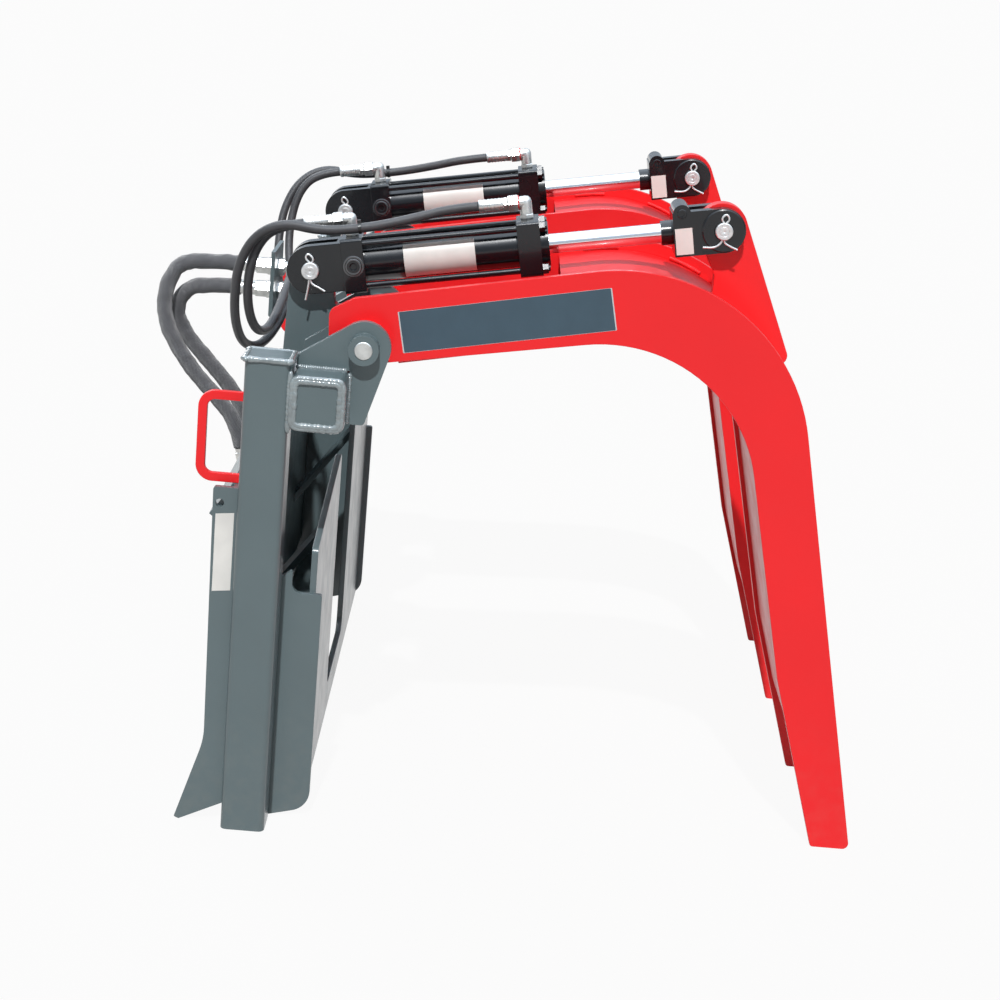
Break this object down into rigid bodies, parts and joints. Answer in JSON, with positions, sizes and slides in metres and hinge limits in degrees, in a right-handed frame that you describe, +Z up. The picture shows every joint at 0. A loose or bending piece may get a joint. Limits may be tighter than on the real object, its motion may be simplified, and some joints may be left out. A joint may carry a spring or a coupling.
{
  "type": "skid steer grapple",
  "caption": "Quick attach grapple for a skid steer loader: rear frame with pivoting two-tine arms, each closed or opened by its own hydraulic cylinder.",
  "frame": {"origin": "bottom centre of the grapple with its arms at the rest pose, hoses left out", "axes": "+X from the loader side towards the tine tips, +Y across the grapple to the right-hand arm, +Z up"},
  "size_m": [1.1408, 1.145, 0.929],
  "materials": {
    "red_paint": "glossy",
    "gray_paint": "semi-gloss",
    "black_paint": "glossy",
    "hard_chrome": "polished",
    "zinc_steel": "satin",
    "hose_rubber": "matte"
  },
  "bodies": {
    "frame": {"attach_plate": "gray_paint", "braces": "gray_paint", "bulkhead_bracket": "gray_paint", "bulkhead_fittings": "zinc_steel", "crosstube": "gray_paint", "front_plate": "gray_paint", "left_base_lug": "gray_paint", "left_gusset": "gray_paint", "left_handle": "red_paint", "left_pivot_pins": "zinc_steel", "left_post": "gray_paint", "left_side_plate": "gray_paint", "lower_coupler": "zinc_steel", "lower_flange": "gray_paint", "lower_supply_hose": "hose_rubber", "lower_tube": "gray_paint", "pivot_ears_1": "gray_paint", "pivot_ears_2": "gray_paint", "pivot_ears_3": "gray_paint", "pivot_ears_4": "gray_paint", "right_base_lug": "gray_paint", "right_gusset": "gray_paint", "right_handle": "red_paint", "right_pivot_pins": "zinc_steel", "right_post": "gray_paint", "right_side_plate": "gray_paint", "upper_coupler": "zinc_steel", "upper_supply_hose": "hose_rubber"},
    "left_arm": {"left_outer_tine": "red_paint", "left_inner_tine": "red_paint", "left_outer_skin": "red_paint", "left_inner_skin": "red_paint", "left_rod_lug": "red_paint"},
    "left_barrel": {"left_base_cap": "black_paint", "left_barrel": "black_paint", "left_head_cap": "black_paint", "left_tie_rods": "black_paint", "left_base_pin": "zinc_steel", "left_port_fittings": "zinc_steel", "left_base_hose": "hose_rubber", "left_head_hose": "hose_rubber"},
    "left_rod": {"left_piston_rod": "hard_chrome", "left_rod_clevis": "black_paint", "left_rod_pin": "zinc_steel"},
    "right_arm": {"right_outer_tine": "red_paint", "right_inner_tine": "red_paint", "right_outer_skin": "red_paint", "right_inner_skin": "red_paint", "right_rod_lug": "red_paint"},
    "right_barrel": {"right_base_cap": "black_paint", "right_barrel": "black_paint", "right_head_cap": "black_paint", "right_tie_rods": "black_paint", "right_base_pin": "zinc_steel", "right_port_fittings": "zinc_steel", "right_base_hose": "hose_rubber", "right_head_hose": "hose_rubber"},
    "right_rod": {"right_piston_rod": "hard_chrome", "right_rod_clevis": "black_paint", "right_rod_pin": "zinc_steel"}
  },
  "joints": [
    {"name": "left_arm_swing", "type": "hinge", "parent": "frame", "child": "left_arm", "pos_m": [-0.271, -0.305, 0.712], "axis": [0, -1, 0], "range_deg": [-20, 36]},
    {"name": "left_cylinder_tilt", "type": "hinge", "parent": "frame", "child": "left_barrel", "pos_m": [-0.367, -0.305, 0.783], "axis": [0, -1, 0], "range_deg": [-17.7, 31.8], "deforming": ["left_base_hose", "left_head_hose"]},
    {"name": "left_rod_slide", "type": "slide", "parent": "left_barrel", "child": "left_rod", "axis": [0.9834, 0, 0.1817], "range_m": [-0.0608, 0.0339]},
    {"name": "right_arm_swing", "type": "hinge", "parent": "frame", "child": "right_arm", "pos_m": [-0.271, 0.305, 0.712], "axis": [0, -1, 0], "range_deg": [-20, 36]},
    {"name": "right_cylinder_tilt", "type": "hinge", "parent": "frame", "child": "right_barrel", "pos_m": [-0.367, 0.305, 0.783], "axis": [0, -1, 0], "range_deg": [-17.7, 31.8], "deforming": ["right_base_hose", "right_head_hose"]},
    {"name": "right_rod_slide", "type": "slide", "parent": "right_barrel", "child": "right_rod", "axis": [0.9834, 0, 0.1817], "range_m": [-0.0608, 0.0339]}
  ],
  "couplings": [
    {"joint": "left_cylinder_tilt", "follows": "left_arm_swing", "ratio": 0.88},
    {"joint": "left_rod_slide", "follows": "left_arm_swing", "m_per_rad": -0.096257},
    {"joint": "right_cylinder_tilt", "follows": "right_arm_swing", "ratio": 0.88},
    {"joint": "right_rod_slide", "follows": "right_arm_swing", "m_per_rad": -0.096257}
  ]
}
